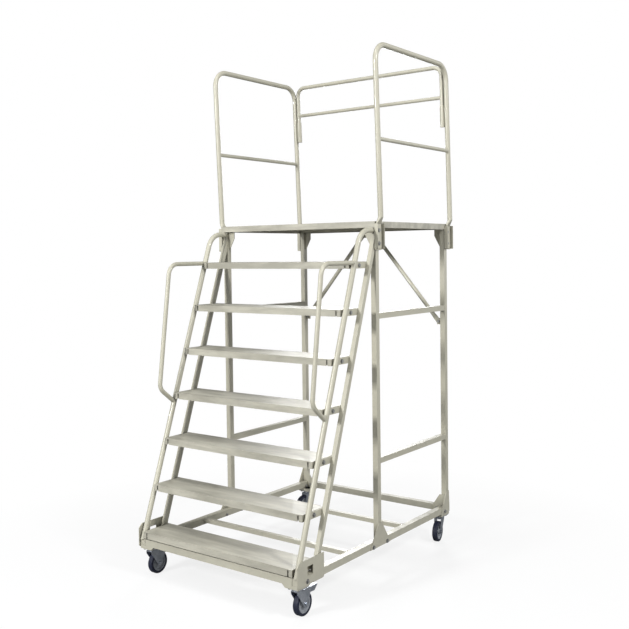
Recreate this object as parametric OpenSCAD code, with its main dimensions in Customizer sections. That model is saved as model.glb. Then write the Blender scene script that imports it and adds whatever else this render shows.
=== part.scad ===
// Mobile ladder stand: wide stair, guarded platform and four swivel casters.
// X runs across the stair, Y from the bottom step to the back, Z up from the floor.

/* [Overall] */
// Height of the platform deck above the floor
platform_h = 2000; // [1670:10:2400]
// Width over the outer faces of the legs
frame_w = 1134; // [940:2:1380]
// Length of the base side rails
base_l = 1572; // [1500:2:1900]

/* [Tubes] */
// Side of the square base tubes
base_tube = 38; // [30:1:50]
// Side of the two base cross rails
cross_tube = 25; // [20:1:30]
// Side of the square legs and side rails
leg_tube = 32; // [25:1:40]
// Diameter of the front stringers
stringer_d = 30; // [25:1:34]
// Side of the square rear stringers
rear_stringer_tube = 25; // [20:1:30]
// Diameter of the stair handrails
handrail_d = 25; // [20:1:28]
// Diameter of the side guard hoops
guard_d = 30; // [25:1:34]
// Diameter of the guards' middle rails
mid_rail_d = 22; // [16:1:25]
// Diameter of the lift-out rear guard
rear_guard_d = 25; // [20:0.5:28]
// Diameter of the knee braces
brace_d = 25; // [20:1:30]
// Wall of every tube
tube_wall = 2; // [1.5:0.5:3]

/* [Platform] */
// Height of the deck's folded rim
rim_h = 35; // [25:1:50]
// Thickness of the deck sheet
deck_sheet = 3; // [2:0.5:4]
// How far the front rim stands ahead of the front legs
rim_overhang = 14; // [8:1:20]
// Depth of the stiffening channels under the deck
stiffener_h = 25; // [15:1:30]
// Width of a platform corner gusset
gusset_w = 45; // [30:1:70]
// Height of a platform corner gusset below the rim
gusset_h = 110; // [80:1:140]
// Thickness of the gussets and plates
plate_t = 4; // [3:0.5:6]

/* [Stair] */
// Slope of the stringers from the floor, in degrees
stair_angle = 70.8; // [66:0.2:74]
// Centre of the front stringer's foot, from the front of the base
stringer_foot_y = 9; // [0:1:20]
// Level distance from the front stringers to the rear stringers
stringer_gap = 148; // [120:1:170]
// Radius of the bend at the top of the front stringers
stringer_bend = 110; // [80:1:130]
// Level run of the front stringers, from the corner of their bend to the legs
top_run = 126.16; // [100:0.01:160]
// Height of the bottom step
bottom_step_h = 260; // [240:1:300]
// Rise from the top step to the deck
last_rise = 222; // [180:1:260]
// Depth of a step, front to back
step_d = 195; // [170:1:210]
// Height of a step's folded lip
lip_h = 37; // [30:1:45]
// Height of a step's folded rear edge
rear_lip_h = 25; // [15:1:30]
// Thickness of the step sheet
step_sheet = 2; // [1.5:0.5:3]
// How far the lip stands ahead of the front stringer's centre
lip_overhang = 30; // [20:1:40]
// Thickness of the brackets between the stringers
bracket_t = 5; // [4:0.5:8]

/* [Stair handrail] */
// Middle of the handrail's top, below the platform
handrail_drop = 227; // [180:1:330]
// How far the top corner stands ahead of the stringer
handrail_reach = 299; // [240:1:320]
// Height of the lower corner
handrail_low_h = 1053; // [1000:1:1100]
// How far the lower corner stands ahead of the stringer
handrail_low_reach = 145; // [110:1:180]
// Height at which the handrail comes back to the stringer
handrail_end_h = 962; // [900:1:980]
// Radius of the handrail's top bend
handrail_bend = 70; // [50:1:80]
// Radius of the handrail's lower bend
handrail_low_bend = 60; // [40:1:70]

/* [Guards] */
// Height of the guards' top rail above the deck, to its centre
guard_h = 974; // [850:1:1100]
// Height of the side guards' middle rail above the deck
guard_mid_h = 453; // [400:1:520]
// Rear posts, behind the middle of the rear legs at deck level
rear_post_back = 14; // [0:1:16]
// Radius of the side guards' bends
guard_bend = 95; // [70:1:120]
// Forward lean of the guards, in degrees
guard_lean = 2.6; // [0:0.1:4]
// Height of the rear guard's middle rail above the deck
rear_mid_h = 785; // [750:1:850]
// Radius of the rear guard's bends
rear_guard_bend = 55; // [40:1:80]
// Height of the sockets' lower end above the deck
socket_h = 603; // [560:1:640]
// Length of the sockets for the rear guard
socket_l = 137; // [100:1:150]
// Radial clearance of the rear guard in its sockets
socket_clear = 0.3; // [0.2:0.05:0.6]
// Width of a guard bracket
shoe_w = 72; // [66:1:80]
// Depth of a guard bracket's flanges
shoe_d = 20; // [14:1:24]
// Length of a guard bracket below the deck
shoe_drop = 160; // [150:1:180]
// Width of a post's flattened foot
foot_w = 50; // [48:1:54]
// Thickness of a post's flattened foot
foot_t = 5; // [4:0.5:6]

/* [Braces] */
// Lower bolt of a knee brace, below the platform
brace_low_drop = 613; // [570:1:700]
// Lower bolts, in from the legs' inner faces
brace_low_in = 18; // [16:1:24]
// Upper bolts, out from the middle
brace_top_x = 48; // [40:1:80]
// Upper bolts, below the rim
brace_top_drop = 24; // [20:1:40]
// Underside of the upper side rails, below the platform
upper_rail_drop = 543; // [400:1:600]
// Height of the lower side rails
lower_rail_h = 643; // [500:1:800]

/* [Casters] */
// Diameter of the wheels
wheel_d = 125; // [100:1:125]
// Width of the tyres
tyre_w = 32; // [26:1:34]
// Thickness of the tyres
tyre_t = 15; // [10:1:20]
// Height of a caster from the floor to its plate
caster_h = 160; // [156:1:175]
// Distance from the swivel's centre to the wheel's axle
trail = 38; // [30:1:42]
// Length of the square caster plates
caster_plate = 84; // [80:1:90]
// Turn of the front casters at rest
front_swivel = 0; // [-180:1:180]
// Turn of the rear right caster at rest
rear_right_swivel = 190; // [0:1:360]
// Turn of the rear left caster at rest
rear_left_swivel = 172; // [0:1:360]
// Running clearance of pins and axles, radial
run_clear = 0.05; // [0.02:0.01:0.1]

/* [Fasteners] */
// Diameter of the frame bolts
bolt_d = 10; // [6:1:10]
// Radial clearance of bolts in their holes
bolt_clear = 0.2; // [0.1:0.05:0.4]

/* [Hidden] */
$fn = 48;

paint = [0.79, 0.78, 0.71];
step_paint = [0.72, 0.71, 0.64];
zinc = [0.66, 0.70, 0.74];
navy = [0.10, 0.11, 0.17];
wheel_grey = [0.55, 0.58, 0.60];

steps = 7;
eps = 1;                                   // overshoot of cutters past open faces
lap = 0.8;                                 // straights of a tube, past the start of a bend
thinning = 0.08;                           // thinning of a bend's wall on each side
leg_x = frame_w / 2;                       // outer faces of the legs
leg_in = leg_x - leg_tube;                 // inner faces of the legs
rail_in = leg_x - base_tube;               // inner faces of the base side rails
pad_h = 18;
base_low = caster_h + pad_h;               // underside of the base tubes
base_top = base_low + base_tube;
rim_low = platform_h - rim_h;
stringer_r = stringer_d / 2;
run = 1 / tan(stair_angle);                // level run of the stringers per unit of rise
top_run_h = rim_low - stringer_r;          // level end of the front stringers
front_leg_y = stringer_y(top_run_h) + top_run;
handrail_h = platform_h - handrail_drop;
brace_low_h = platform_h - brace_low_drop;
upper_rail_h = platform_h - upper_rail_drop;
rear_leg_y = base_l - base_tube;
leg_mid = leg_tube / 2;
deck_x = leg_x + deck_sheet;
deck_front = front_leg_y - rim_overhang;
deck_back = rear_leg_y + leg_tube + deck_sheet;
sheet_low = platform_h - deck_sheet;       // underside of the deck sheet

stringer_x = leg_x - stringer_r;
step_rise = (platform_h - last_rise - bottom_step_h) / (steps - 1);
bracket_x = stringer_x - rear_stringer_tube / 2;   // rear stringer's inner face
step_x = bracket_x - bracket_t;            // half length of a step
step_bolt_back = 70;                       // step bolts, back from the front stringer
step_bolt_drop = 20;                       // step bolts, below the top of the step

leg_lines = [front_leg_y + leg_mid, rear_leg_y + leg_mid];
post_lines = [leg_lines[0] + 1, leg_lines[1] + rear_post_back];   // posts at deck level
shoe_back = 4;                             // brackets, behind the posts at deck level
shoe_t = 3;
shoe_x = deck_x;                           // inner face of the bracket's web
guard_r = guard_d / 2;
guard_x = shoe_x + shoe_t + foot_t + guard_r;
foot_x = shoe_x + shoe_t;
socket_wall = 3;
rear_guard_r = rear_guard_d / 2;
socket_r = rear_guard_r + socket_clear + socket_wall;
socket_x = guard_x - guard_r - socket_r;
guard_bolt_drops = [50, 123];              // below the deck
guard_bolt_back = 4;                       // guard bolts, behind the middle of a leg

bolt_r = bolt_d / 2;
head_h = bolt_d * 0.66;
head_w = bolt_d * 1.85;                    // hexagon, across corners

caster_x = leg_x - caster_plate / 2;
front_caster_y = 50;
rear_caster_y = base_l - 50;
plate_top_t = 4;
wheel_r = wheel_d / 2;
axle_r = 5;
fork_gap = tyre_w / 2 + 4;                 // from the middle to a fork side
fork_t = 3;
crown_h = wheel_d + 13;                    // underside of the fork crown
crown_t = 4;
race_r = 28;
kingpin_r = 6;
caster_bolt_in = 14;                       // caster bolts, in from the plate's edges
pedal_y = 68;                              // brake pivot behind the swivel
pedal_z = wheel_d - 1;
pedal_pin_r = 3;
pedal_l = 142;                             // tip of the pedal behind the swivel

y_front = -10;                             // front of the corner plates
y_back = post_lines[1] + shoe_back + shoe_w / 2;
y_mid = (y_front + y_back) / 2;

function stringer_y(z) = stringer_foot_y + (z - base_top) * run;
function step_top(i) = bottom_step_h + (steps - i) * step_rise;
function turn(a, b) = cross(a, b) > 0 ? 1 : -1;
function heading(v) = atan2(v[1], v[0]);

// Everything is drawn from the front of the base, then centred on Y.
module placed() {
    translate([0, -y_mid, 0]) children();
}

module both_sides() {
    children();
    mirror([1, 0, 0]) children();
}

module left_side() {
    mirror([1, 0, 0]) children();
}

// Turns a flat drawing so that its X runs along Y and its Y runs up.
module upright(x) {
    translate([x, 0, 0]) rotate([90, 0, 90]) children();
}

// Turns a flat drawing so that its X stays and its Y runs up.
module facing_front(y) {
    translate([0, y, 0]) rotate([90, 0, 0]) children();
}

// A rod along flat points, with a bend of radius bends[i - 1] at each inner point.
// It is a tube where bore is above 0.
module bent_rod(points, bends, r, bore = 0) {
    translate([points[0][0], points[0][1], 0]) rotate([0, 0, heading(points[1] - points[0])])
        rod_from(0, points, bends, r, bore);
}

// The rest of the rod from point i, drawn along +X. A bend's wall thins a little, and the
// straights lap over it.
module rod_from(i, points, bends, r, bore) {
    last = i == len(points) - 2;
    before = i == 0 ? 0 : bend_reach(points, bends, i);
    after = last ? 0 : bend_reach(points, bends, i + 1);
    length = norm(points[i + 1] - points[i]) - before - after;
    start = i == 0 ? 0 : lap;
    translate([-start, 0, 0]) rotate([0, 90, 0]) ring(length + start + (last ? 0 : lap), r, bore);
    if (!last) {
        s = turn(points[i + 1] - points[i], points[i + 2] - points[i + 1]);
        a = corner_angle(points, i + 1);
        translate([length, s * bends[i], 0]) {
            mirror([0, s > 0 ? 0 : 1, 0]) rotate([0, 0, -90]) rotate_extrude(angle = a)
                translate([bends[i], 0]) difference() {
                    circle(r - thinning);
                    if (bore > 0) circle(bore + thinning);
                }
            rotate([0, 0, s * a]) translate([0, -s * bends[i], 0])
                rod_from(i + 1, points, bends, r, bore);
        }
    }
}

module ring(h, r, bore) {
    difference() {
        cylinder(h = h, r = r);
        if (bore > 0) translate([0, 0, -eps]) cylinder(h = h + 2 * eps, r = bore);
    }
}

function unit(v) = v / norm(v);
function corner_angle(points, i) = acos(unit(points[i] - points[i - 1]) * unit(points[i + 1] - points[i]));
function bend_reach(points, bends, i) = bends[i - 1] * tan(corner_angle(points, i) / 2);

module bent_tube(points, bends, r) {
    bent_rod(points, bends, r, r - tube_wall);
}

// Square tube along +Y from the origin, centred on X and Z.
module square_tube(side, length) {
    difference() {
        translate([-side / 2, 0, -side / 2]) cube([side, length, side]);
        translate([tube_wall - side / 2, -eps, tube_wall - side / 2])
            cube([side - 2 * tube_wall, length + 2 * eps, side - 2 * tube_wall]);
    }
}

module square_tube_x(side, length) {
    rotate([0, 0, 90]) translate([0, -length / 2, 0]) square_tube(side, length);
}

module square_tube_z(side, length) {
    rotate([90, 0, 0]) mirror([0, 1, 0]) translate([0, -length, 0]) square_tube(side, length);
}

// Bolt along +X: the head's underside at x = 0, the nut's face at x = grip.
module bolt_x(grip) {
    rotate([0, 90, 0]) {
        translate([0, 0, -head_h]) cylinder(h = head_h, r = head_w / 2, $fn = 6);
        cylinder(h = grip + head_h + 3, r = bolt_r);
    }
    translate([grip, 0, 0]) rotate([0, 90, 0]) difference() {
        cylinder(h = head_h, r = head_w / 2, $fn = 6);
        translate([0, 0, -eps]) cylinder(h = head_h + 2 * eps, r = bolt_r + run_clear);
    }
}

module hole_x(from, to, r = bolt_r + bolt_clear) {
    translate([from, 0, 0]) rotate([0, 90, 0]) cylinder(h = to - from, r = r);
}

// ---- Base ----

module base_side_rails() {
    color(paint) placed() both_sides() difference() {
        translate([leg_x - base_tube / 2, 0, base_low + base_tube / 2]) square_tube(base_tube, base_l);
        base_bolt_holes();
    }
}

module base_front_beam() {
    color(paint) placed()
        translate([0, base_tube / 2, base_low + base_tube / 2]) square_tube_x(base_tube, 2 * rail_in);
}

module base_rear_beam() {
    color(paint) placed() difference() {
        translate([0, base_l - base_tube / 2, base_low + base_tube / 2])
            square_tube_x(base_tube, 2 * rail_in);
        both_sides() rear_gusset_bolt() hole_y(rear_leg_y - eps, rear_leg_y + tube_wall + eps);
    }
}

cross_rail_y = [489, 1058];
module base_cross_rails() {
    color(paint) placed()
        for (y = cross_rail_y)
            translate([0, y, base_top - cross_tube / 2]) square_tube_x(cross_tube, 2 * rail_in);
}

corner_plate_l = 225;
corner_plate_h = 130;
window = 48;
module front_corner_plates() {
    color(paint) placed() both_sides()
        difference() {
            upright(leg_x) linear_extrude(plate_t) difference() {
                translate([y_front, base_low - 9]) square([corner_plate_l, corner_plate_h]);
                translate([74, base_top - 2]) square(window);
                translate([y_front, base_low - 9]) rotate(45) square(12, center = true);
                translate([y_front + corner_plate_l, base_low - 9]) rotate(45) square(12, center = true);
                translate([y_front, base_low - 9 + corner_plate_h]) rotate(45)
                    square(34, center = true);
            }
            base_bolt_holes();
        }
}

// Folded tray under each corner of the base, which the caster bolts to.
module caster_pad() {
    depth = 2 * front_caster_y;
    pad_in = leg_x - caster_plate;
    difference() {
        facing_front(0) mirror([0, 0, 1]) linear_extrude(depth)
            polygon([[pad_in - pad_h, base_low], [leg_x, base_low], [leg_x, caster_h], [pad_in, caster_h]]);
        facing_front(plate_t) mirror([0, 0, 1]) linear_extrude(depth - 2 * plate_t)
            polygon([[pad_in - pad_h + plate_t * 1.5, base_low + eps], [leg_x - plate_t, base_low + eps],
                [leg_x - plate_t, caster_h + plate_t], [pad_in + plate_t, caster_h + plate_t]]);
        caster_bolt_spots(front_caster_y)
            translate([0, 0, caster_h - eps]) cylinder(h = pad_h, r = bolt_r + bolt_clear);
    }
}

module caster_pads() {
    color(paint) placed() both_sides() {
        caster_pad();
        translate([0, base_l, 0]) mirror([0, 1, 0]) caster_pad();
    }
}

module caster_bolt_spots(y) {
    for (dx = [-1, 1], dy = [-1, 1])
        translate([caster_x + dx * (caster_plate / 2 - caster_bolt_in),
            y + dy * (caster_plate / 2 - caster_bolt_in), 0]) children();
}

// ---- Legs and side frames ----

module legs(y) {
    color(paint) placed() both_sides() difference() {
        translate([leg_x - leg_mid, y + leg_mid, base_top]) square_tube_z(leg_tube, sheet_low - base_top);
        guard_bolt_holes();
    }
}

foot_gusset_h = 95;
foot_flare = 89;
foot_bolt_y = 71;                          // foot bolts, from the middle of the leg
foot_bolt_z = base_low + 10;
module leg_foot_gussets() {
    low = base_low;
    high = base_top + foot_gusset_h;
    mid = front_leg_y + leg_mid;
    back = rear_leg_y + leg_tube;
    color(paint) placed() both_sides() {
        difference() {
            upright(leg_x) linear_extrude(plate_t) {
                polygon([[mid - leg_mid - foot_flare, low], [mid + leg_mid + foot_flare, low],
                    [mid + leg_mid, high], [mid - leg_mid, high]]);
                polygon([[rear_leg_y - foot_flare * 0.8, low], [base_l, low],
                    [base_l, base_top], [back, high], [rear_leg_y, high]]);
            }
            base_bolt_holes();
        }
        difference() {
            facing_front(rear_leg_y) linear_extrude(plate_t)
                polygon([[rail_in, low], [rail_in - 54, low], [rail_in - 54, base_top],
                    [leg_in - 12, base_top + 70], [leg_x, base_top + 70], [leg_x, base_top],
                    [rail_in, base_top]]);
            rear_gusset_bolt() hole_y(rear_leg_y - plate_t - eps, rear_leg_y + eps);
        }
    }
}

module hole_y(from, to) {
    translate([0, to, 0]) rotate([90, 0, 0]) cylinder(h = to - from, r = bolt_r + bolt_clear);
}

module rear_gusset_bolt() {
    translate([rail_in - 27, 0, base_low + base_tube / 2]) children();
}

module side_rails(z) {
    from = front_leg_y + leg_tube;
    color(paint) placed() both_sides()
        translate([leg_x - leg_mid, from, z + leg_mid]) square_tube(leg_tube, rear_leg_y - from);
}

// ---- Knee braces ----

brace_y = rear_leg_y + leg_mid;
brace_low = [leg_in - brace_low_in, brace_low_h];
brace_top = [brace_top_x, rim_low - brace_top_drop];
tab_t = 5;
tab_l = 30;
tab_w = 30;
lug_t = 5;

module knee_brace() {
    d = (brace_top - brace_low) / norm(brace_top - brace_low);
    length = norm(brace_top - brace_low);
    neck = 26;                             // from a tab's end to the full tube
    color(paint) placed()
        translate([brace_low[0], brace_y - lug_t / 2, brace_low[1]])
        rotate([0, -heading(d), 0]) difference() {
            union() {
                brace_end(neck);
                translate([length, 0, 0]) mirror([1, 0, 0]) brace_end(neck);
                translate([tab_l + neck, 0, 0]) rotate([0, 90, 0]) difference() {
                    cylinder(h = length - 2 * (tab_l + neck), r = brace_d / 2);
                    translate([0, 0, 2]) cylinder(h = length - 2 * (tab_l + neck) - 4,
                        r = brace_d / 2 - tube_wall);
                }
            }
            for (x = [0, length])
                translate([x, 0, 0]) hole_y(-tab_t, tab_t);
            translate([length / 2, 0, 0]) mirror([0, 0, 1]) cylinder(h = brace_d, r = 2);
        }
}

// Flattened end of a brace: a round-nosed tab that swells into the tube.
module brace_end(neck) {
    rotate([90, 0, 0]) translate([0, 0, -tab_t / 2]) linear_extrude(tab_t) {
        circle(tab_w / 2);
        translate([0, -tab_w / 2]) square([tab_l, tab_w]);
    }
    hull() {
        translate([tab_l - 1, -tab_t / 2, -tab_w / 2]) cube([1, tab_t, tab_w]);
        translate([tab_l + neck, 0, 0]) rotate([0, 90, 0])
            cylinder(h = 1.5, r = brace_d / 2 - 0.3, $fn = 32);
    }
}

module brace_lugs() {
    front = brace_y + tab_t / 2 - lug_t / 2;
    color(paint) placed() both_sides() difference() {
        union() {
            facing_front(front + lug_t) linear_extrude(lug_t) {
                translate([brace_low[0] - 14, brace_low[1] - 20]) square([leg_in - brace_low[0] + 14, 40]);
            }
            facing_front(front + lug_t) linear_extrude(lug_t) {
                translate([brace_top[0] - 20, brace_top[1] - 16])
                    square([40, sheet_low - stiffener_h - brace_top[1] + 16]);
            }
        }
        for (p = [brace_low, brace_top])
            translate([p[0], 0, p[1]]) hole_y(front - eps, front + lug_t + eps);
    }
}

// ---- Platform ----

module platform_deck() {
    color(paint) placed() difference() {
        translate([-deck_x, deck_front, rim_low]) cube([2 * deck_x, deck_back - deck_front, rim_h]);
        translate([-leg_x, deck_front + deck_sheet, rim_low - eps])
            cube([2 * leg_x, deck_back - deck_front - 2 * deck_sheet, rim_h - deck_sheet + eps]);
    }
}

// Channels welded under the deck, between the legs and midway.
module deck_stiffeners() {
    low = sheet_low - stiffener_h;
    middle = (front_leg_y + rear_leg_y) / 2;
    color(paint) placed()
        for (y = [front_leg_y, middle, rear_leg_y])
            difference() {
                translate([-leg_in, y, low]) cube([2 * leg_in, leg_tube, stiffener_h]);
                translate([-leg_in - eps, y + tube_wall, low + tube_wall])
                    cube([2 * (leg_in + eps), leg_tube - 2 * tube_wall, stiffener_h]);
            }
}

module platform_gussets() {
    low = sheet_low - stiffener_h;
    color(paint) placed() both_sides()
        for (y = [front_leg_y, rear_leg_y])
            facing_front(y + leg_mid + plate_t / 2) linear_extrude(plate_t)
                polygon([[leg_in, low], [leg_in - gusset_w, low], [leg_in - gusset_w, rim_low - 39],
                    [leg_in - 6, rim_low - gusset_h], [leg_in, rim_low - gusset_h]]);
}

// ---- Stair ----

module front_stringer() {
    start_z = base_top - 60;
    difference() {
        upright(stringer_x) bent_tube([[stringer_y(start_z), start_z],
            [stringer_y(top_run_h), top_run_h], [front_leg_y, top_run_h]], [stringer_bend], stringer_r);
        translate([leg_x - 60, -200, 0]) cube([90, 400, base_top]);
    }
}

module rear_stringers() {
    top_z = base_top + (front_leg_y - stringer_gap - stringer_foot_y) / run;
    reach = (top_z - base_top) / sin(stair_angle);
    color(paint) placed() both_sides() difference() {
        translate([stringer_x, stringer_y(base_top) + stringer_gap, base_top])
            rotate([stair_angle, 0, 0]) translate([0, -60, 0])
            square_tube(rear_stringer_tube, reach + 120);
        translate([leg_x - 60, -200, 0]) cube([90, 600, base_top]);
        translate([leg_x - 60, front_leg_y, 0]) cube([90, 200, platform_h + 200]);
    }
}

// Folded steel pan, closed at both ends. Its lip is slotted near each end, and the end is
// stiffened by a return behind the slot.
module step_pan(i) {
    z = step_top(i);
    y = stringer_y(z) - lip_overhang;
    color(step_paint) placed() difference() {
        union() {
            difference() {
                translate([-step_x, y, z - lip_h]) cube([2 * step_x, step_d, lip_h]);
                translate([step_sheet - step_x, y + step_sheet, z - lip_h - eps])
                    cube([2 * (step_x - step_sheet), step_d - 2 * step_sheet, lip_h - step_sheet + eps]);
            }
            both_sides() translate([step_x - 44, y + step_sheet + 9, z - lip_h + 2])
                cube([44 - step_sheet / 2, step_sheet, lip_h - 2 - step_sheet / 2]);
        }
        translate([-step_x - eps, y + step_d - step_sheet - eps, z - lip_h - eps])
            cube([2 * (step_x + eps), step_sheet + 2 * eps, lip_h - rear_lip_h + eps]);
        both_sides() {
            translate([step_x - 30, y - eps, z - lip_h - eps]) cube([8, step_sheet + 2 * eps, lip_h - 3]);
            translate([0, stringer_y(z - step_bolt_drop) + step_bolt_back, z - step_bolt_drop])
                hole_x(step_x - step_sheet - eps, step_x + eps);
        }
    }
}

module step_brackets() {
    color(paint) placed() both_sides() difference() {
        for (i = [1 : steps]) {
            low = step_top(i) - lip_h;
            high = step_top(i) - step_sheet;
            upright(step_x) linear_extrude(bracket_t)
                polygon([[stringer_y(low), low], [stringer_y(low) + stringer_gap, low],
                    [stringer_y(high) + stringer_gap, high], [stringer_y(high), high]]);
        }
        upright(stringer_x) bent_rod([[stringer_y(base_top - 60), base_top - 60],
            [stringer_y(top_run_h), top_run_h], [front_leg_y, top_run_h]], [stringer_bend], stringer_r);
        for (i = [1 : steps])
            translate([0, stringer_y(step_top(i) - step_bolt_drop) + step_bolt_back,
                step_top(i) - step_bolt_drop]) hole_x(step_x - eps, bracket_x + eps);
    }
}

module stair_handrail() {
    top = [stringer_y(handrail_h), handrail_h];
    low = [stringer_y(handrail_low_h), handrail_low_h];
    end = [stringer_y(handrail_end_h), handrail_end_h];
    difference() {
        upright(stringer_x) bent_tube([top, top - [handrail_reach, 0], low - [handrail_low_reach, 0], end],
            [handrail_bend, handrail_low_bend], handrail_d / 2);
        upright(stringer_x) bent_rod([[stringer_y(base_top), base_top],
            [stringer_y(rim_low), rim_low]], [], stringer_r);
    }
}

// ---- Guards ----

// Leaning frame of a post: the origin is on the post's centre line at deck level.
module post_frame(i) {
    translate([0, post_lines[i], platform_h]) rotate([guard_lean, 0, 0]) children();
}

// Point on a post's centre line, a given height above the deck.
function post_point(i, h) = [post_lines[i] - h * tan(guard_lean), platform_h + h];

neck_top = 22;
neck_low = -16;
function hoop_line(h) = [post_point(0, h), post_point(0, guard_h), post_point(1, guard_h),
    post_point(1, h)];

// Flattened foot of a post, with its rounded end and the swell into the round tube.
module post_foot() {
    low = -shoe_drop + 8;
    corner = 12;
    hull() {
        translate([guard_x, 0, neck_top]) cylinder(h = 1.5, r = guard_r - 0.3, $fn = 32);
        translate([foot_x, -foot_w / 2, neck_low]) cube([foot_t, foot_w, 1]);
    }
    upright(foot_x) linear_extrude(foot_t) {
        translate([-foot_w / 2, low + corner]) square([foot_w, neck_low - low - corner]);
        translate([corner - foot_w / 2, low]) square([foot_w - 2 * corner, corner + 0.5]);
        for (s = [-1, 1]) translate([s * (foot_w / 2 - corner), low + corner]) circle(corner);
    }
}

module side_guard() {
    difference() {
        union() {
            upright(guard_x) bent_tube(hoop_line(neck_top), [guard_bend, guard_bend], guard_r);
            for (i = [0, 1]) post_frame(i) post_foot();
        }
        guard_bolt_holes();
        for (i = [0, 1]) post_frame(i) translate([guard_x - guard_r - eps, 0, neck_top + 16])
            rotate([0, 90, 0]) cylinder(h = guard_r, r = 2.5);
    }
}

module guard_mid_rails() {
    color(paint) placed() both_sides() difference() {
        upright(guard_x)
            bent_tube([post_point(0, guard_mid_h), post_point(1, guard_mid_h)], [], mid_rail_d / 2);
        for (i = [0, 1]) post_frame(i)
            translate([guard_x, 0, guard_mid_h - 50]) cylinder(h = 100, r = guard_r);
    }
}

// Channels on the outside of the legs, open outward, packed out below the deck's rim.
module guard_brackets() {
    corner = 12;
    low = platform_h - shoe_drop;
    high = platform_h - 12;
    color(paint) placed() both_sides() difference() {
        for (i = [0, 1]) {
            translate([0, post_lines[i] + shoe_back, 0]) intersection() {
                difference() {
                    translate([shoe_x, -shoe_w / 2, low]) cube([shoe_d + shoe_t, shoe_w, high - low]);
                    translate([shoe_x + shoe_t, shoe_t - shoe_w / 2, low - eps])
                        cube([shoe_d + eps, shoe_w - 2 * shoe_t, high - low + 2 * eps]);
                }
                upright(shoe_x - eps) linear_extrude(shoe_d + shoe_t + 2 * eps) {
                    translate([-shoe_w / 2, low + corner]) square([shoe_w, high - low - corner]);
                    translate([corner - shoe_w / 2, low]) square([shoe_w - 2 * corner, corner + 1]);
                    for (s = [-1, 1]) translate([s * (shoe_w / 2 - corner), low + corner]) circle(corner);
                }
            }
            translate([leg_x, leg_lines[i] + 6 - leg_mid, low + 4])
                cube([deck_sheet, leg_tube - 8, rim_low - low - 4]);
        }
        guard_bolt_holes();
    }
}

module guard_bolt_spots() {
    for (y = leg_lines, drop = guard_bolt_drops)
        translate([0, y + guard_bolt_back, platform_h - drop]) children();
}

module guard_bolt_holes() {
    guard_bolt_spots() hole_x(leg_x - tube_wall - eps, foot_x + foot_t + eps);
}

// Closed-bottom sleeves welded to the rear posts.
module guard_sockets() {
    color(paint) placed() both_sides() post_frame(1) difference() {
        union() {
            translate([socket_x, 0, socket_h]) cylinder(h = socket_l, r = socket_r);
            translate([socket_x, -4, socket_h + 12]) cube([guard_x - socket_x, 8, socket_l - 24]);
        }
        translate([socket_x, 0, socket_h + socket_wall])
            cylinder(h = socket_l, r = rear_guard_r + socket_clear);
        translate([guard_x, 0, socket_h - eps]) cylinder(h = socket_l + 2 * eps, r = guard_r);
    }
}

module rear_guard() {
    foot = socket_h + socket_wall;
    color(paint) placed() post_frame(1) facing_front(0)
        bent_tube([[-socket_x, foot], [-socket_x, guard_h], [socket_x, guard_h], [socket_x, foot]],
            [rear_guard_bend, rear_guard_bend], rear_guard_r);
}

module rear_guard_mid_rail() {
    color(paint) placed() post_frame(1) difference() {
        facing_front(0)
            bent_tube([[-socket_x, rear_mid_h], [socket_x, rear_mid_h]], [], mid_rail_d / 2);
        both_sides() translate([socket_x, 0, rear_mid_h - 50])
            cylinder(h = 100, r = rear_guard_r);
    }
}

// ---- Fasteners ----

module step_bolts() {
    color(zinc) placed() both_sides() for (i = [1 : steps]) {
        z = step_top(i) - step_bolt_drop;
        translate([bracket_x, stringer_y(z) + step_bolt_back, z])
            mirror([1, 0, 0]) bolt_x(bracket_t + step_sheet);
    }
}

// Screws into threaded inserts in the legs' outer walls.
module guard_bolts() {
    color(zinc) placed() both_sides() guard_bolt_spots()
        translate([foot_x + foot_t, 0, 0]) rotate([0, 90, 0]) {
            cylinder(h = head_h, r = head_w / 2, $fn = 6);
            translate([0, 0, -24]) cylinder(h = 24, r = bolt_r);
        }
}

module base_bolt_spots() {
    mid = front_leg_y + leg_mid;
    for (y = [74, mid - foot_bolt_y, mid + foot_bolt_y, rear_leg_y - 22])
        translate([0, y, foot_bolt_z]) children();
}

module base_bolt_holes() {
    base_bolt_spots() hole_x(rail_in - eps, leg_x + plate_t + eps);
}

module frame_bolts() {
    color(zinc) placed() both_sides() {
        base_bolt_spots() translate([leg_x + plate_t, 0, 0]) mirror([1, 0, 0])
            bolt_x(plate_t + base_tube);
        for (p = [brace_low, brace_top])
            translate([p[0], brace_y - lug_t / 2 - tab_t / 2, p[1]]) rotate([0, 0, 90])
            bolt_x(tab_t + lug_t);
        rear_gusset_bolt() translate([0, rear_leg_y - plate_t, 0]) rotate([90, 0, 0]) {
            cylinder(h = head_h, r = head_w / 2, $fn = 6);
            translate([0, 0, -20]) cylinder(h = 20, r = bolt_r);
        }
    }
}

module caster_bolts() {
    color(zinc) placed() both_sides()
        for (y = [front_caster_y, rear_caster_y]) caster_bolt_spots(y)
            translate([0, 0, caster_h - plate_top_t]) rotate([0, -90, 0])
            bolt_x(plate_top_t + plate_t);
}

// ---- Casters, drawn about the swivel with the wheel behind it on +Y ----

module caster_plates() {
    color(zinc) placed() both_sides()
        for (y = [front_caster_y, rear_caster_y]) {
            difference() {
                translate([caster_x - caster_plate / 2, y - caster_plate / 2, caster_h - plate_top_t])
                    cube([caster_plate, caster_plate, plate_top_t]);
                caster_bolt_spots(y) translate([0, 0, caster_h - plate_top_t - eps])
                    cylinder(h = plate_top_t + 2 * eps, r = bolt_r + bolt_clear);
                translate([caster_x, y, caster_h - plate_top_t - eps])
                    cylinder(h = plate_top_t + 2 * eps, r = kingpin_r);
            }
            translate([caster_x, y, 0]) {
                translate([0, 0, crown_h - 9]) cylinder(h = caster_h - crown_h + 9, r = kingpin_r);
                translate([0, 0, crown_h - 9]) cylinder(h = 8.7, r = 10, $fn = 6);
            }
        }
}

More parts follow.
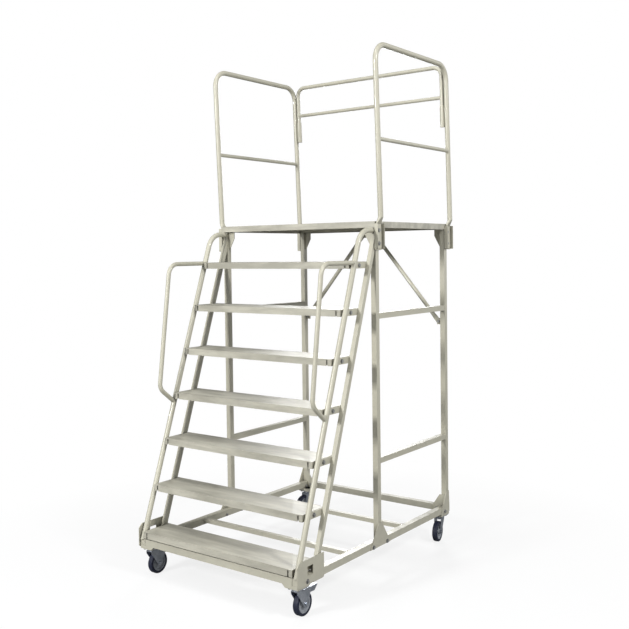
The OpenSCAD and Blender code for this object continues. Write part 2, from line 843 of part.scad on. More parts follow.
module at_caster(x, y, swivel) {
    translate([x, y, 0]) rotate([0, 0, swivel]) children();
}

module fork_side(braked) {
    ear = braked ? pedal_y + 9 : 34;
    difference() {
        upright(0) linear_extrude(fork_t) {
            polygon([[-26, crown_h + crown_t], [ear, crown_h + crown_t], [ear, crown_h - 24],
                [trail + 17, wheel_r + 3], [trail - 17, wheel_r - 3], [-26, crown_h - 12]]);
            translate([trail, wheel_r]) circle(17);
        }
        translate([0, trail, wheel_r]) hole_x(-eps, fork_t + eps, axle_r + run_clear);
        if (braked) translate([0, pedal_y, pedal_z]) hole_x(-eps, fork_t + eps, pedal_pin_r + run_clear);
    }
}

module fork(braked) {
    race_low = crown_h + crown_t;
    color(zinc) {
        for (s = [0, 1]) mirror([s, 0, 0]) translate([fork_gap, 0, 0]) fork_side(braked);
        difference() {
            union() {
                translate([-fork_gap, -26, crown_h]) cube([2 * fork_gap, 60, crown_t]);
                translate([0, 0, race_low]) rotate_extrude() polygon([[0, 0], [race_r, 0],
                    [race_r, 5], [race_r - 4, caster_h - plate_top_t - race_low - 0.3],
                    [0, caster_h - plate_top_t - race_low - 0.3]]);
            }
            translate([0, 0, crown_h - eps]) cylinder(h = caster_h, r = kingpin_r + run_clear);
        }
    }
}

// Axle bolt with its head and its lock nut outside the fork.
module caster_axle() {
    color(zinc) translate([-fork_gap - fork_t, trail, wheel_r]) rotate([0, 90, 0]) {
        translate([0, 0, -5]) cylinder(h = 5, r = 9, $fn = 6);
        cylinder(h = 2 * (fork_gap + fork_t) + 7, r = axle_r);
        translate([0, 0, 2 * (fork_gap + fork_t)]) cylinder(h = 5, r = 9, $fn = 6);
    }
}

hub_r = wheel_r - tyre_t;
module wheel_hub() {
    half = tyre_w / 2;
    boss = fork_gap - 0.5;
    color(wheel_grey) translate([0, trail, wheel_r]) rotate([0, 90, 0]) rotate_extrude()
        polygon([[axle_r + run_clear, -boss], [16, -boss], [16, -7], [hub_r - 9, -5],
            [hub_r - 6, 2 - half], [hub_r, 2 - half], [hub_r, half - 2], [hub_r - 6, half - 2],
            [hub_r - 9, 5], [16, 7], [16, boss], [axle_r + run_clear, boss]]);
}

module tyre() {
    half = tyre_w / 2;
    round = 6;
    color(navy) translate([0, trail, wheel_r]) rotate([0, 90, 0]) rotate_extrude($fn = 96) {
        translate([hub_r, -half]) square([tyre_t - round, tyre_w]);
        translate([hub_r, round - half]) square([tyre_t, tyre_w - 2 * round]);
        for (s = [-1, 1]) translate([wheel_r - round, s * (half - round)]) circle(round);
    }
}

// Folded pedal whose cheeks straddle the tyre, on a pin through the fork.
module brake_pedal() {
    cheek = tyre_w / 2 + 1;
    cheek_t = 2;
    top = pedal_z + 14;
    color(zinc) {
        for (s = [0, 1]) mirror([s, 0, 0]) upright(cheek) linear_extrude(cheek_t)
            polygon([[pedal_y - 9, top], [pedal_l - 6, top], [pedal_l - 2, top - 6],
                [pedal_l - 26, top - 30], [pedal_y + 16, pedal_z - 14], [pedal_y - 9, pedal_z - 8]]);
        translate([-cheek, pedal_y - 2, top - 3]) cube([2 * cheek, pedal_l - pedal_y + 2, 3]);
        translate([-cheek, pedal_l - 3, top - 10]) cube([2 * cheek, 3, 7.5]);
        translate([-cheek, pedal_y + 13, pedal_z - 8.8]) cube([2 * cheek, 4, 20.3]);
        translate([-fork_gap - fork_t - 2, pedal_y, pedal_z]) rotate([0, 90, 0])
            cylinder(h = 2 * (fork_gap + fork_t + 2), r = pedal_pin_r);
    }
}

module front_left() {
    placed() at_caster(-caster_x, front_caster_y, front_swivel) children();
}

module front_right() {
    placed() at_caster(caster_x, front_caster_y, front_swivel) children();
}

module rear_left() {
    placed() at_caster(-caster_x, rear_caster_y, rear_left_swivel) children();
}

module rear_right() {
    placed() at_caster(caster_x, rear_caster_y, rear_right_swivel) children();
}

base_side_rails();
base_front_beam();
base_rear_beam();
base_cross_rails();
front_corner_plates();
caster_pads();
legs(front_leg_y);  // front_legs
legs(rear_leg_y);  // rear_legs
leg_foot_gussets();
side_rails(upper_rail_h);  // side_rails_upper
side_rails(lower_rail_h);  // side_rails_lower
left_side() knee_brace();  // knee_brace_left
knee_brace();  // knee_brace_right
brace_lugs();
platform_deck();
deck_stiffeners();
platform_gussets();
color(paint) placed() left_side() front_stringer();  // front_stringer_left
color(paint) placed() front_stringer();  // front_stringer_right
rear_stringers();
step_pan(1);  // step_1
step_pan(2);  // step_2
step_pan(3);  // step_3
step_pan(4);  // step_4
step_pan(5);  // step_5
step_pan(6);  // step_6
step_pan(7);  // step_7
step_brackets();
color(paint) placed() left_side() stair_handrail();  // stair_handrail_left
color(paint) placed() stair_handrail();  // stair_handrail_right
color(paint) placed() left_side() side_guard();  // side_guard_left
color(paint) placed() side_guard();  // side_guard_right
guard_mid_rails();
guard_brackets();
guard_sockets();
rear_guard();
rear_guard_mid_rail();
step_bolts();
guard_bolts();
frame_bolts();
caster_bolts();
caster_plates();
front_left() fork(true);  // caster_fork_front_left
front_right() fork(true);  // caster_fork_front_right
rear_left() fork(false);  // caster_fork_rear_left
rear_right() fork(false);  // caster_fork_rear_right
front_left() caster_axle();  // caster_axle_front_left
front_right() caster_axle();  // caster_axle_front_right
rear_left() caster_axle();  // caster_axle_rear_left
rear_right() caster_axle();  // caster_axle_rear_right
front_left() wheel_hub();  // wheel_hub_front_left
front_right() wheel_hub();  // wheel_hub_front_right
rear_left() wheel_hub();  // wheel_hub_rear_left
rear_right() wheel_hub();  // wheel_hub_rear_right
front_left() tyre();  // tyre_front_left
front_right() tyre();  // tyre_front_right
rear_left() tyre();  // tyre_rear_left
rear_right() tyre();  // tyre_rear_right
front_left() brake_pedal();  // brake_pedal_left
front_right() brake_pedal();  // brake_pedal_right
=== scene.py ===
# Mobile ladder stand: a wide stair up to a guarded platform, on a tube base with four casters.
import math
import bmesh
import bpy
from mathutils import Matrix, Vector, noise


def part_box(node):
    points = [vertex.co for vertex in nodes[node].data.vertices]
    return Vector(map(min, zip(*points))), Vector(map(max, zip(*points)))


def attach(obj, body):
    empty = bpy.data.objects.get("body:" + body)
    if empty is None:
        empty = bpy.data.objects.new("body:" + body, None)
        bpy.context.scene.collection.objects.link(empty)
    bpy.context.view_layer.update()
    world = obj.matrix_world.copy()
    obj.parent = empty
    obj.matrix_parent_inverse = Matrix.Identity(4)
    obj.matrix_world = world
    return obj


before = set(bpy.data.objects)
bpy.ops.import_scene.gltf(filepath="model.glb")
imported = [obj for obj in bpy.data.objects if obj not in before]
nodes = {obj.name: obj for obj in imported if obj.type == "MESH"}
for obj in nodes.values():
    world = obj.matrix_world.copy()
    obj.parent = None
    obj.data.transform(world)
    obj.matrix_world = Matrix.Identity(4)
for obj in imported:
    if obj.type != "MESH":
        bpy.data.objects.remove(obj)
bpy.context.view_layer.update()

# ---- Base frame -------------------------------------------------------------------------------
# Square steel tube, cut square and MIG welded at the corners, with two lighter cross rails.
# Everything is powder coated after welding in one warm pale grey, over the beads.


class Shade:
    """One value in a material; Python's operators on it add Math nodes."""

    def __init__(self, tree, socket=None):
        self.tree, self.socket = tree, socket

    def node(self, kind, settings=None, values=None, out=0):
        """A node with its settings, then the numbers or links of its sockets; gives one output."""
        made = self.tree.nodes.new(kind)
        for key, value in (settings or {}).items():
            setattr(made, key, value)
        for key, value in (values or {}).items():
            if isinstance(value, Shade):
                self.tree.links.new(value.socket, made.inputs[key])
            else:
                made.inputs[key].default_value = value
        return Shade(self.tree, made.outputs[out])

    def math(self, operation, a, b, clamp=False):
        return self.node("ShaderNodeMath", {"operation": operation, "use_clamp": clamp}, {0: a, 1: b})

    def __add__(self, other):
        return self.math("ADD", self, other)

    __radd__ = __add__

    def __sub__(self, other):
        return self.math("SUBTRACT", self, other)

    def __rsub__(self, other):
        return self.math("SUBTRACT", other, self)

    def __mul__(self, other):
        return self.math("MULTIPLY", self, other)

    __rmul__ = __mul__

    def above(self, low, high):
        """0 up to low, 1 from high on, and a straight rise in between."""
        return self.math("MULTIPLY", self - low, 1 / (high - low), clamp=True)

    def place(self, sx=1.0, sy=1.0, sz=1.0):
        """Where a point lies on the object, stretched along each axis."""
        here = self.node("ShaderNodeTexCoord", out=3)
        return self.node("ShaderNodeMapping", {}, {"Vector": here, "Scale": (sx, sy, sz)})

    def height(self):
        return self.node("ShaderNodeSeparateXYZ", {}, {0: self.place()}, out=2)

    def grain(self, scale, detail=2.0, rough=0.5, at=None):
        where = at if at is not None else self.place()
        return self.node("ShaderNodeTexNoise", {}, {"Vector": where, "Scale": scale, "Detail": detail,
                                                   "Roughness": rough})

    def painted_corner_shade(self, reach, low, high):
        """Mask for painted shade: 0 on open faces, rising in corners and gaps narrower than the reach."""
        open_sky = self.node("ShaderNodeAmbientOcclusion", {"samples": 12}, {"Distance": reach}, out=1)
        return (1.0 - open_sky).above(low, high)

    def blend(self, mask, a, b):
        return self.node("ShaderNodeMix", {"data_type": "RGBA"}, {0: mask, 6: a, 7: b}, out=2)

    def bump(self, height, strength, distance):
        return self.node("ShaderNodeBump", {}, {"Height": height, "Strength": strength,
                                                "Distance": distance})


def finish_named(name, constants, varying):
    """A material whose shader has constants on its own sockets and varying ones linked."""
    mat = bpy.data.materials.new(name)
    mat.use_nodes = True
    shader = next(n for n in mat.node_tree.nodes if n.type == "BSDF_PRINCIPLED")
    for key, value in constants.items():
        shader.inputs[key].default_value = value
    start = Shade(mat.node_tree)
    for key, value in varying(start).items():
        mat.node_tree.links.new(value.socket, shader.inputs[key])
    return mat


def coat(part, mat):
    """Gives a node of the frame a material."""
    for held in nodes[part].material_slots:
        held.material = mat


def powder_coat(skin):
    # Orange peel, slow drift of tone, grey dust low down, short rub marks and painted shade in the
    # corners.
    peel = skin.grain(700, 2)
    drift = skin.grain(2.2, 3)
    rubs = skin.grain(26, 5, 0.7, skin.place(1, 1, 0.25)).above(0.62, 0.72)
    dust = (1.0 - skin.height().above(0.02, 0.55)) * skin.grain(14, 4).above(0.4, 0.7)
    tone = skin.blend(drift.above(0.3, 0.7), (0.450, 0.430, 0.345, 1), (0.500, 0.480, 0.388, 1))
    tone = skin.blend(rubs * 0.35, tone, (0.40, 0.385, 0.31, 1))
    tone = skin.blend(dust * 0.35, tone, (0.31, 0.295, 0.25, 1))
    tone = skin.blend(skin.painted_corner_shade(0.045, 0.28, 0.90) * 0.9, tone, (0.085, 0.080, 0.062, 1))
    return {"Base Color": tone, "Roughness": 0.28 + drift * 0.12 + rubs * 0.15 + dust * 0.2,
            "Normal": skin.bump(peel + rubs * 0.3, 0.16, 0.0004)}


frame_paint = finish_named("frame powder coat", {"Metallic": 0.0, "Coat Weight": 0.15}, powder_coat)
for part in ("base_side_rails", "base_front_beam", "base_rear_beam", "base_cross_rails"):
    coat(part, frame_paint)


def bead_along(mesh, path, thick, closed=True):
    """A rippled weld bead on a path, added to a mesh."""
    sides, pitch = 8, 0.0052
    ripple, unevenness, lumps = 0.16, 0.15, 160
    rings, run = [], 0.0
    count = len(path)
    for i, here in enumerate(path):
        ahead = path[(i + 1) % count] if closed or i < count - 1 else here
        behind = path[i - 1] if closed or i > 0 else here
        along = (ahead - behind).normalized()
        side = along.orthogonal().normalized()
        if rings:
            side = (old_side - along * old_side.dot(along)).normalized()
        old_side = side
        run += (here - path[i - 1]).length if i else 0.0
        r = thick * (1 + ripple * math.sin(math.tau * run / pitch)
                     + unevenness * noise.noise(here * lumps))
        up = along.cross(side)
        rings.append([mesh.verts.new(here + r * (math.cos(a) * side + math.sin(a) * up))
                      for a in (math.tau * k / sides for k in range(sides))])
    for i in range(count if closed else count - 1):
        a, b = rings[i], rings[(i + 1) % count]
        for k in range(sides):
            mesh.faces.new((a[k], a[(k + 1) % sides], b[(k + 1) % sides], b[k]))
    if not closed:
        mesh.faces.new(rings[0][::-1])
        mesh.faces.new(rings[-1])


def square_path(centre, u, v, half, step=0.0022):
    """Points round a square that lies along u and v, with its corners cut off."""
    corners = [(-1, -1), (1, -1), (1, 1), (-1, 1)]
    count = max(4, int(2 * half / step))
    path = []
    for (a, b), (c, d) in zip(corners, corners[1:] + corners[:1]):
        for i in range(count):
            t = (i + 0.5) / count
            path.append(centre + u * half * (a + (c - a) * t) + v * half * (b + (d - b) * t))
    return path


def make_piece(name, mesh, body, mat, smooth=True):
    """Turns a mesh into a named object that moves with a body and takes a material slot."""
    bmesh.ops.recalc_face_normals(mesh, faces=mesh.faces)
    data = bpy.data.meshes.new(name)
    mesh.to_mesh(data)
    mesh.free()
    piece = bpy.data.objects.new(name, data)
    bpy.context.scene.collection.objects.link(piece)
    data.materials.append(mat)
    if smooth:
        for face in data.polygons:
            face.use_smooth = True
    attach(piece, body)


X, Y, Z = Vector((1, 0, 0)), Vector((0, 1, 0)), Vector((0, 0, 1))
thin_bead = 0.0018
rail_low, rail_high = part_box("base_side_rails")
beam_low, beam_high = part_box("base_front_beam")
rear_low, rear_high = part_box("base_rear_beam")
cross_low, cross_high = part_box("base_cross_rails")
tube = beam_high.z - beam_low.z
cross_tube = cross_high.z - cross_low.z

mesh = bmesh.new()
for side in (-1, 1):
    for low, high in ((beam_low, beam_high), (rear_low, rear_high)):
        mid = Vector((side * high.x, (low.y + high.y) / 2, (low.z + high.z) / 2))
        bead_along(mesh, square_path(mid, Y, Z, tube / 2), thin_bead)
    for y in (cross_low.y + cross_tube / 2, cross_high.y - cross_tube / 2):
        mid = Vector((side * cross_high.x, y, (cross_low.z + cross_high.z) / 2))
        bead_along(mesh, square_path(mid, Y, Z, cross_tube / 2), thin_bead)
make_piece("base_weld_beads", mesh, "root", frame_paint)

# The side rails are closed at both ends by a light plate, set in a little and seam welded.
plate_t, set_in, edge, play = 0.003, 0.0025, 0.004, 0.002
mesh = bmesh.new()
for side in (-1, 1):
    for y, inward in ((rail_low.y, 1), (rail_high.y, -1)):
        half = tube / 2 - play
        mid = Vector((side * (rail_high.x - tube / 2), y + inward * set_in,
                      (rail_low.z + rail_high.z) / 2))
        made = bmesh.ops.create_cube(mesh, size=1.0)
        for v in made["verts"]:
            v.co = mid + Vector((v.co.x * 2 * half, v.co.y * plate_t, v.co.z * 2 * half))
        faces = {f for v in made["verts"] for f in v.link_faces if abs(f.normal.y) > 0.9}
        bmesh.ops.inset_region(mesh, faces=list(faces), thickness=edge, depth=0.0)
make_piece("rail_end_plates", mesh, "root", frame_paint, smooth=False)

# ---- Corner plates and caster pads ------------------------------------------------------------
# Laser-cut plate with a square sighting window, bolted over each front corner; the pads are
# folded trays that raise the base to the height of the casters. Coated like the frame.
for part in ("front_corner_plates", "caster_pads"):
    coat(part, frame_paint)

# ---- Legs and side rails ----------------------------------------------------------------------
# Square tube legs welded on the base rails, with two rails a side. Foot gussets are bolted
# through the base rail, and the seams are filled with a bead all round.
for part in ("front_legs", "rear_legs", "leg_foot_gussets", "side_rails_upper", "side_rails_lower"):
    coat(part, frame_paint)
leg_front_low, leg_front_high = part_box("front_legs")
leg_rear_low, leg_rear_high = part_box("rear_legs")
leg_tube = leg_front_high.y - leg_front_low.y
leg_x = leg_front_high.x - leg_tube / 2
wide_bead = 0.0020
mesh = bmesh.new()
for side in (-1, 1):
    for low, high in ((leg_front_low, leg_front_high), (leg_rear_low, leg_rear_high)):
        foot = Vector((side * leg_x, (low.y + high.y) / 2, low.z))
        bead_along(mesh, square_path(foot, X, Y, leg_tube / 2), wide_bead)
    for part in ("side_rails_upper", "side_rails_lower"):
        low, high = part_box(part)
        for y in (low.y, high.y):
            mid = Vector((side * leg_x, y, (low.z + high.z) / 2))
            bead_along(mesh, square_path(mid, X, Z, leg_tube / 2), thin_bead)
make_piece("leg_weld_beads", mesh, "root", frame_paint)

# ---- Knee braces ------------------------------------------------------------------------------
# Round tube with flattened, drilled ends, slanting from under the deck down to the rear legs.
# Each end is bolted to a plate lug, and both are coated like the frame.
for part in ("knee_brace_left", "knee_brace_right", "brace_lugs"):
    coat(part, frame_paint)

# ---- Platform ---------------------------------------------------------------------------------
# One sheet folded down on all four sides, on channels between the legs, with plate gussets.
# The walked surface is dulled by shoes and carries faint marks along the sheet's rolling.


def walked_and_shaded_coat(skin):
    # Rolling marks run across the step under slanted worn patches and dragged scuffs, over a tone
    # kept darker than the frame's as painted shade on the tread tops, and painted shade darkens the
    # folds.
    fine = skin.grain(60, 3, 0.6, skin.place(0.08, 1, 1))
    slant = skin.node("ShaderNodeMapping", {}, {"Vector": skin.place(), "Rotation": (0, 0, 0.9),
                                                "Scale": (0.25, 1.6, 1)})
    broad = skin.grain(10, 4, 0.62, slant)
    peel = skin.grain(620, 2)
    scuff = skin.grain(38, 6, 0.75, skin.place(0.5, 1.2, 1)).above(0.60, 0.74)
    tone = skin.blend(broad.above(0.38, 0.62), (0.340, 0.326, 0.268, 1), (0.495, 0.475, 0.395, 1))
    tone = skin.blend(fine.above(0.48, 0.62) * 0.4, tone, (0.34, 0.325, 0.275, 1))
    tone = skin.blend(scuff * 0.45, tone, (0.28, 0.27, 0.235, 1))
    tone = skin.blend(skin.painted_corner_shade(0.045, 0.28, 0.90) * 0.9, tone, (0.085, 0.080, 0.062, 1))
    return {"Base Color": tone, "Roughness": 0.26 + broad * 0.16 + fine * 0.10 + scuff * 0.18,
            "Normal": skin.bump(peel * 0.6 + fine * 0.5 + scuff * 0.4, 0.22, 0.0005)}


# The steps and deck take a darker copy of the frame paint: painted shade for their tops, under real wear.
shaded_step_paint = finish_named("walked and shaded powder coat", {"Metallic": 0.0, "Coat Weight": 0.05}, walked_and_shaded_coat)
coat("platform_deck", shaded_step_paint)
for part in ("deck_stiffeners", "platform_gussets"):
    coat(part, frame_paint)

# ---- Stringers --------------------------------------------------------------------------------
# The front stringers are round tube bent level under the deck; the rear ones are square tube.
# Both stand on the base rails and end on the front legs; the tubes have a bead round each end.
for part in ("front_stringer_left", "front_stringer_right", "rear_stringers"):
    coat(part, frame_paint)
slope = math.radians(70.8)                 # of the stair, from the floor
climb = Vector((0, math.cos(slope), math.sin(slope)))
string_low, string_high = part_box("front_stringer_right")
stringer_x = (string_low.x + string_high.x) / 2
stringer_r = (string_high.x - string_low.x) / 2
foot_y = string_low.y + stringer_r / math.sin(slope)


def stringer_at(z):
    """How far back the middle of a front stringer lies at a height."""
    return foot_y + (z - string_low.z) * climb.y / climb.z


def hoop(centre, u, v, points=48):
    """Points round an ellipse with the half axes u and v."""
    turns = (math.tau * k / points for k in range(points))
    return [centre + math.cos(a) * u + math.sin(a) * v for a in turns]


stand_off = 0.0008                         # of the upper bead's middle, from the leg's face
mesh = bmesh.new()
for side in (-1, 1):
    foot = Vector((side * stringer_x, foot_y, string_low.z))
    bead_along(mesh, hoop(foot, stringer_r * X, stringer_r / math.sin(slope) * Y, 60), wide_bead)
    head = Vector((side * stringer_x, string_high.y - stand_off, string_high.z - stringer_r))
    bead_along(mesh, hoop(head, stringer_r * X, stringer_r * Z), thin_bead)
make_piece("stringer_weld_beads", mesh, "root", frame_paint)

# ---- Steps ------------------------------------------------------------------------------------
# Seven folded sheet pans with a deep front lip, each bolted between two end brackets that are
# welded across the front and rear stringers.
for i in range(1, 8):
    coat("step_%d" % i, shaded_step_paint)
coat("step_brackets", frame_paint)

# ---- Stair handrails --------------------------------------------------------------------------
# Bent round tube, one on each side of the stair, saddle cut at both ends and welded to the
# front stringers. The coat goes over the weld beads.


def saddle_path(at, out, r, along, big_r):
    """The seam where a tube of radius r, running towards out, meets a wider one."""
    out, along = out.normalized(), along.normalized()
    first = out.orthogonal().normalized()
    second = out.cross(first)
    flat_out = out - along * out.dot(along)
    path = []
    for off in hoop(Vector(), r * first, r * second):
        # The wider tube's face lies at the larger root of a quadratic.
        flat_off = off - along * off.dot(along)
        square, linear = flat_out.length_squared, flat_out.dot(flat_off)
        constant = flat_off.length_squared - big_r ** 2
        far = (math.sqrt(max(linear ** 2 - square * constant, 0.0)) - linear) / square
        path.append(at + off + out * far)
    return path


end_z = 0.962                              # where the lower end meets the stringer
corner_z, corner_out = 1.053, 0.145        # the last bend's corner, and its distance out
mesh = bmesh.new()
for name, side in (("stair_handrail_left", -1), ("stair_handrail_right", 1)):
    coat(name, frame_paint)
    low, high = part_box(name)
    r = (high.x - low.x) / 2
    top_z = high.z - r
    at = Vector((side * stringer_x, stringer_at(top_z), top_z))
    bead_along(mesh, saddle_path(at, -Y, r, climb, stringer_r), thin_bead)
    at = Vector((side * stringer_x, stringer_at(end_z), end_z))
    corner = Vector((at.x, stringer_at(corner_z) - corner_out, corner_z))
    bead_along(mesh, saddle_path(at, corner - at, r, climb, stringer_r), thin_bead)
make_piece("handrail_weld_beads", mesh, "root", frame_paint)

# ---- Side guards ------------------------------------------------------------------------------
# Round tube hoops leaning forward a little, with pressed flat feet screwed into channel brackets
# on the legs. A thinner middle rail is welded between the posts.
for part in ("side_guard_left", "side_guard_right", "guard_mid_rails", "guard_brackets",
             "guard_sockets"):
    coat(part, frame_paint)
lean = math.radians(2.6)                   # of the posts, forward
post = Vector((0, -math.sin(lean), math.cos(lean)))
post_r, post_bead = 0.015, 0.0016
post_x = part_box("side_guard_right")[1].x - post_r
mid_low, mid_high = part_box("guard_mid_rails")
mid_r = (mid_high.z - mid_low.z) / 2
mid_z = (mid_high.z + mid_low.z) / 2
saddle = math.sqrt(post_r ** 2 - mid_r ** 2)   # from a rail's saddle cut to its post's middle
mesh = bmesh.new()
for side in (-1, 1):
    for y, out in ((mid_low.y - saddle, Y), (mid_high.y + saddle, -Y)):
        at = Vector((side * post_x, y, mid_z))
        bead_along(mesh, saddle_path(at, out, mid_r, post, post_r), post_bead)
make_piece("guard_weld_beads", mesh, "root", frame_paint)

# ---- Rear guard -------------------------------------------------------------------------------
# A hoop of thinner tube with a middle rail welded across it. It stands in two sleeves on the
# rear posts, so that it lifts out.
for part in ("rear_guard", "rear_guard_mid_rail"):
    coat(part, frame_paint)
rear_mid_low, rear_mid_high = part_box("rear_guard_mid_rail")
rear_r, rear_bead = 0.0125, 0.0015
rear_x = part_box("rear_guard")[1].x - rear_r
rear_mid_r = (rear_mid_high.z - rear_mid_low.z) / 2
mesh = bmesh.new()
for side in (-1, 1):
    at = Vector((side * rear_x, (rear_mid_low.y + rear_mid_high.y) / 2,
                 (rear_mid_low.z + rear_mid_high.z) / 2))
    bead_along(mesh, saddle_path(at, -side * X, rear_mid_r, post, rear_r), rear_bead)
make_piece("rear_guard_weld_beads", mesh, "rear_guard_frame", frame_paint)

# ---- Screws, bolts and washers ----------------------------------------------------------------
# Hexagon heads in dulled zinc plate. Those on the guards, the base plates and the steps sit on
# plain washers; the rest bear on the plate itself.


def bolt_plate(skin):
    # Darker and duller than the pressed caster parts, with painted shade round the heads.
    cloud = skin.grain(90, 3, 0.6)
    tone = skin.blend(cloud.above(0.35, 0.7), (0.24, 0.24, 0.235, 1), (0.40, 0.40, 0.39, 1))
    tone = skin.blend(skin.painted_corner_shade(0.004, 0.20, 0.7) * 0.8, tone, (0.04, 0.038, 0.034, 1))
    return {"Base Color": tone, "Roughness": 0.30 + cloud * 0.2, "Metallic": 0.35 + cloud * 0.25,
            "Normal": skin.bump(skin.grain(500, 2), 0.10, 0.0002)}


bolt_zinc = finish_named("bolt plate", {}, bolt_plate)
for part in ("step_bolts", "guard_bolts", "frame_bolts", "caster_bolts"):
    coat(part, bolt_zinc)
head_r, head_h = 0.00925, 0.0066
flat = head_r * math.cos(math.radians(30))
ring_in, ring_out, ring_t = head_r + 0.0002, 0.0122, 0.0016


def washer(mesh, at, out):
    """A plain washer with eased edges, lying on a face whose normal is out."""
    first = out.orthogonal().normalized()
    second = out.cross(first)
    ease = ring_t * 0.3
    outline = [(ring_in, 0), (ring_out, 0), (ring_out, ring_t - ease), (ring_out - ease, ring_t),
               (ring_in + ease, ring_t), (ring_in, ring_t - ease)]
    turns = 40
    rings = [[mesh.verts.new(at + r * (math.cos(a) * first + math.sin(a) * second) + out * h)
              for r, h in outline]
             for a in (math.tau * k / turns for k in range(turns))]
    for i in range(turns):
        a, b = rings[i], rings[(i + 1) % turns]
        for k in range(len(outline)):
            n = (k + 1) % len(outline)
            mesh.faces.new((a[k], a[n], b[n], b[k]))


guard_screw_low, guard_screw_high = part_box("guard_bolts")
gusset_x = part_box("leg_foot_gussets")[1].x
foot_bolt_up = 0.010                       # above the underside of the base rails
corner_back, foot_out, rear_in = 0.074, 0.071, 0.022   # from the rail's end, front leg, rear leg
step_bolt_down, step_bolt_back, bracket_t = 0.020, 0.070, 0.005
mesh = bmesh.new()
for side in (-1, 1):
    face_x = guard_screw_high.x - head_h
    for y in (guard_screw_low.y + flat, guard_screw_high.y - flat):
        for z in (guard_screw_low.z + head_r, guard_screw_high.z - head_r):
            washer(mesh, Vector((side * face_x, y, z)), side * X)
    front_y = (leg_front_low.y + leg_front_high.y) / 2
    for y in (rail_low.y + corner_back, front_y - foot_out, front_y + foot_out,
              leg_rear_low.y - rear_in):
        washer(mesh, Vector((side * gusset_x, y, rail_low.z + foot_bolt_up)), side * X)
    for i in range(1, 8):
        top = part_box("step_%d" % i)[1]
        z = top.z - step_bolt_down
        washer(mesh, Vector((side * (top.x + bracket_t), stringer_at(z) + step_bolt_back, z)),
               side * X)
make_piece("washers", mesh, "root", bolt_zinc, smooth=False)

# ---- Casters ----------------------------------------------------------------------------------
# Pressed zinc-plated plate, fork and race on a riveted kingpin, with a folded brake pedal on the
# front pair. The wheels have a moulded grey centre and a dark blue-black rubber tyre.


def zinc_plate(skin):
    # Spangled grey zinc with darker passivation clouds and fine drawn lines.
    spangle = skin.node("ShaderNodeTexVoronoi", {}, {"Vector": skin.place(), "Scale": 260.0}, out=0)
    cloud = skin.grain(30, 4, 0.6)
    lines = skin.grain(420, 2, 0.5, skin.place(0.15, 1, 1))
    tone = skin.blend(cloud.above(0.35, 0.7), (0.40, 0.43, 0.48, 1), (0.66, 0.69, 0.74, 1))
    tone = skin.blend(spangle.above(0.2, 0.8) * 0.3, tone, (0.24, 0.26, 0.30, 1))
    return {"Base Color": tone, "Roughness": 0.22 + cloud * 0.20, "Metallic": 0.85 + cloud * 0.15,
            "Normal": skin.bump(lines, 0.10, 0.0002)}


def moulded_grey(skin):
    mottle = skin.grain(45, 3)
    grit = skin.grain(900, 2)
    tone = skin.blend(mottle.above(0.3, 0.7), (0.25, 0.265, 0.29, 1), (0.34, 0.355, 0.375, 1))
    return {"Base Color": tone, "Roughness": 0.45 + mottle * 0.2, "Normal": skin.bump(grit, 0.12, 0.0003)}


def tyre_rubber(skin):
    # Dust rubbed into the rubber, thicker in patches, over a fine moulded texture.
    dust = skin.grain(34, 5, 0.65).above(0.45, 0.72)
    grit = skin.grain(1100, 2)
    tone = skin.blend(dust * 0.4, (0.010, 0.013, 0.032, 1), (0.040, 0.043, 0.055, 1))
    return {"Base Color": tone, "Roughness": 0.50 + dust * 0.25, "Normal": skin.bump(grit, 0.15, 0.0003)}


wheel_grey = finish_named("moulded wheel centre", {"Metallic": 0.0}, moulded_grey)
rubber = finish_named("tyre rubber", {"Metallic": 0.0, "Specular IOR Level": 0.4}, tyre_rubber)
zinc = finish_named("zinc plate", {}, zinc_plate)
coat("caster_plates", zinc)
for corner in ("front_left", "front_right", "rear_left", "rear_right"):
    coat("caster_fork_" + corner, zinc)
    coat("caster_axle_" + corner, zinc)
    coat("wheel_hub_" + corner, wheel_grey)
    coat("tyre_" + corner, rubber)
for part in ("brake_pedal_left", "brake_pedal_right"):
    coat(part, zinc)

# ---- Room -------------------------------------------------------------------------------------
# A pale seamless floor that fades into an even white surround, lit by four soft boxes. The
# surround is white to the eye alone, and reflections see three bright panels in a dark room.


def pale_floor(skin):
    # Pale to the eye, and darker to light that bounces off it.
    soft = skin.grain(0.8, 3)
    first = skin.node("ShaderNodeLightPath", out=0)
    pale = skin.blend(soft, (0.80, 0.80, 0.80, 1), (0.84, 0.84, 0.84, 1))
    return {"Base Color": skin.blend(first, (0.24, 0.24, 0.24, 1), pale), "Roughness": 0.6 + soft * 0.1}


mesh = bmesh.new()
bmesh.ops.create_grid(mesh, x_segments=2, y_segments=2, size=30)
data = bpy.data.meshes.new("floor")
mesh.to_mesh(data)
mesh.free()
floor = bpy.data.objects.new("floor", data)
bpy.context.scene.collection.objects.link(floor)
card = finish_named("floor card", {}, pale_floor)
sheet = Shade(card.node_tree)
far = sheet.node("ShaderNodeVectorMath", {"operation": "LENGTH"}, {0: sheet.place()}, out=1)
glow = sheet.node("ShaderNodeEmission", {}, {"Color": (1, 1, 1, 1), "Strength": 1.0})
first = sheet.node("ShaderNodeLightPath", out=0)
fade = first * (0.78 + far.above(0.7, 2.4) * 0.22)
shader = next(n for n in card.node_tree.nodes if n.type == "BSDF_PRINCIPLED")
lit = Shade(card.node_tree, shader.outputs[0])
both = sheet.node("ShaderNodeMixShader", {}, {0: fade, 1: lit, 2: glow})
card.node_tree.links.new(both.socket, card.node_tree.nodes["Material Output"].inputs[0])
data.materials.append(card)

world = bpy.data.worlds.new("surround")
world.use_nodes = True
air = Shade(world.node_tree)
way = air.node("ShaderNodeTexCoord", out=0)


def towards(x, y, z):
    """About 1 where the surround lies in a direction, and less the further round it is."""
    return air.node("ShaderNodeVectorMath", {"operation": "DOT_PRODUCT"}, {0: way, 1: (x, y, z)}, out=1)


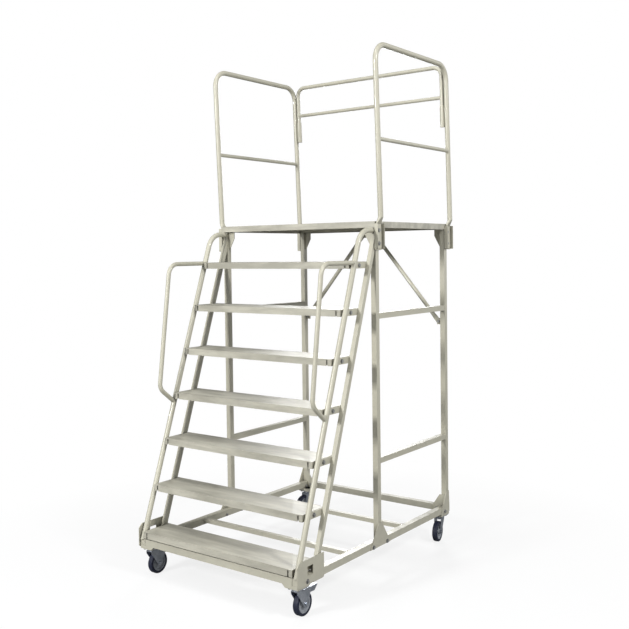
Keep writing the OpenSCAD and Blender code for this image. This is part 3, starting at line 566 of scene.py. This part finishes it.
panels = (0.05 + towards(-0.25, -0.80, 0.55).above(0.45, 0.75) * 0.50
          + towards(0.85, -0.25, 0.45).above(0.72, 0.90) * 0.45
          + towards(0.60, 0.78, 0.15).above(0.80, 0.96) * 1.1)
sky = air.node("ShaderNodeBackground", {}, {"Color": (0.94, 0.97, 1.0, 1), "Strength": panels})
paper = air.node("ShaderNodeBackground", {}, {"Color": (1, 1, 1, 1), "Strength": 1.0})
seen = air.node("ShaderNodeLightPath", out=0)
mixed = air.node("ShaderNodeMixShader", {}, {0: seen, 1: sky, 2: paper})
world.node_tree.links.new(mixed.socket, world.node_tree.nodes["World Output"].inputs[0])
bpy.context.scene.world = world
bpy.context.scene.view_settings.view_transform = "Standard"


def soft_box(name, at, aim, size, power):
    """A square lamp, metres across and watts."""
    data = bpy.data.lights.new(name, "AREA")
    data.shape, data.size, data.energy = "SQUARE", size, power
    lamp = bpy.data.objects.new(name, data)
    lamp.location = at
    lamp.rotation_euler = (Vector(aim) - Vector(at)).to_track_quat("-Z", "Y").to_euler()
    bpy.context.scene.collection.objects.link(lamp)


soft_box("key", (-1.2, -6.1, 3.5), (0, 0, 1.4), 0.8, 335)
soft_box("side", (5.8, -1.0, 5.0), (0, 0, 1.3), 0.9, 280)
soft_box("top", (-0.4, -2.2, 6.8), (0, 0, 1.0), 1.2, 50)
soft_box("back", (-3.6, 6.0, 3.6), (0, 0, 1.3), 2.0, 150)

# ---- Camera -----------------------------------------------------------------------------------
# Standing off the right front corner, a little below the height of the deck, with a normal lens
# shifted down to take in the casters.
turn, tilt, roll = math.radians(36.661), math.radians(2.1), math.radians(0.7371)
back = Vector((math.sin(turn) * math.cos(tilt), -math.cos(turn) * math.cos(tilt), math.sin(tilt)))
right = Vector((math.cos(turn), math.sin(turn), 0))
up = back.cross(right)
right, up = (math.cos(roll) * right - math.sin(roll) * up,
             math.sin(roll) * right + math.cos(roll) * up)
spot = Vector((3.2026, -4.1694, 1.8296))
data = bpy.data.cameras.new("camera")
data.sensor_width, data.lens, data.shift_y = 36, 50.28, -0.0469
camera = bpy.data.objects.new("camera", data)
facing = Matrix((right, up, back)).transposed().to_4x4()
camera.matrix_world = Matrix.Translation(spot) @ facing
bpy.context.scene.collection.objects.link(camera)
bpy.context.scene.camera = camera
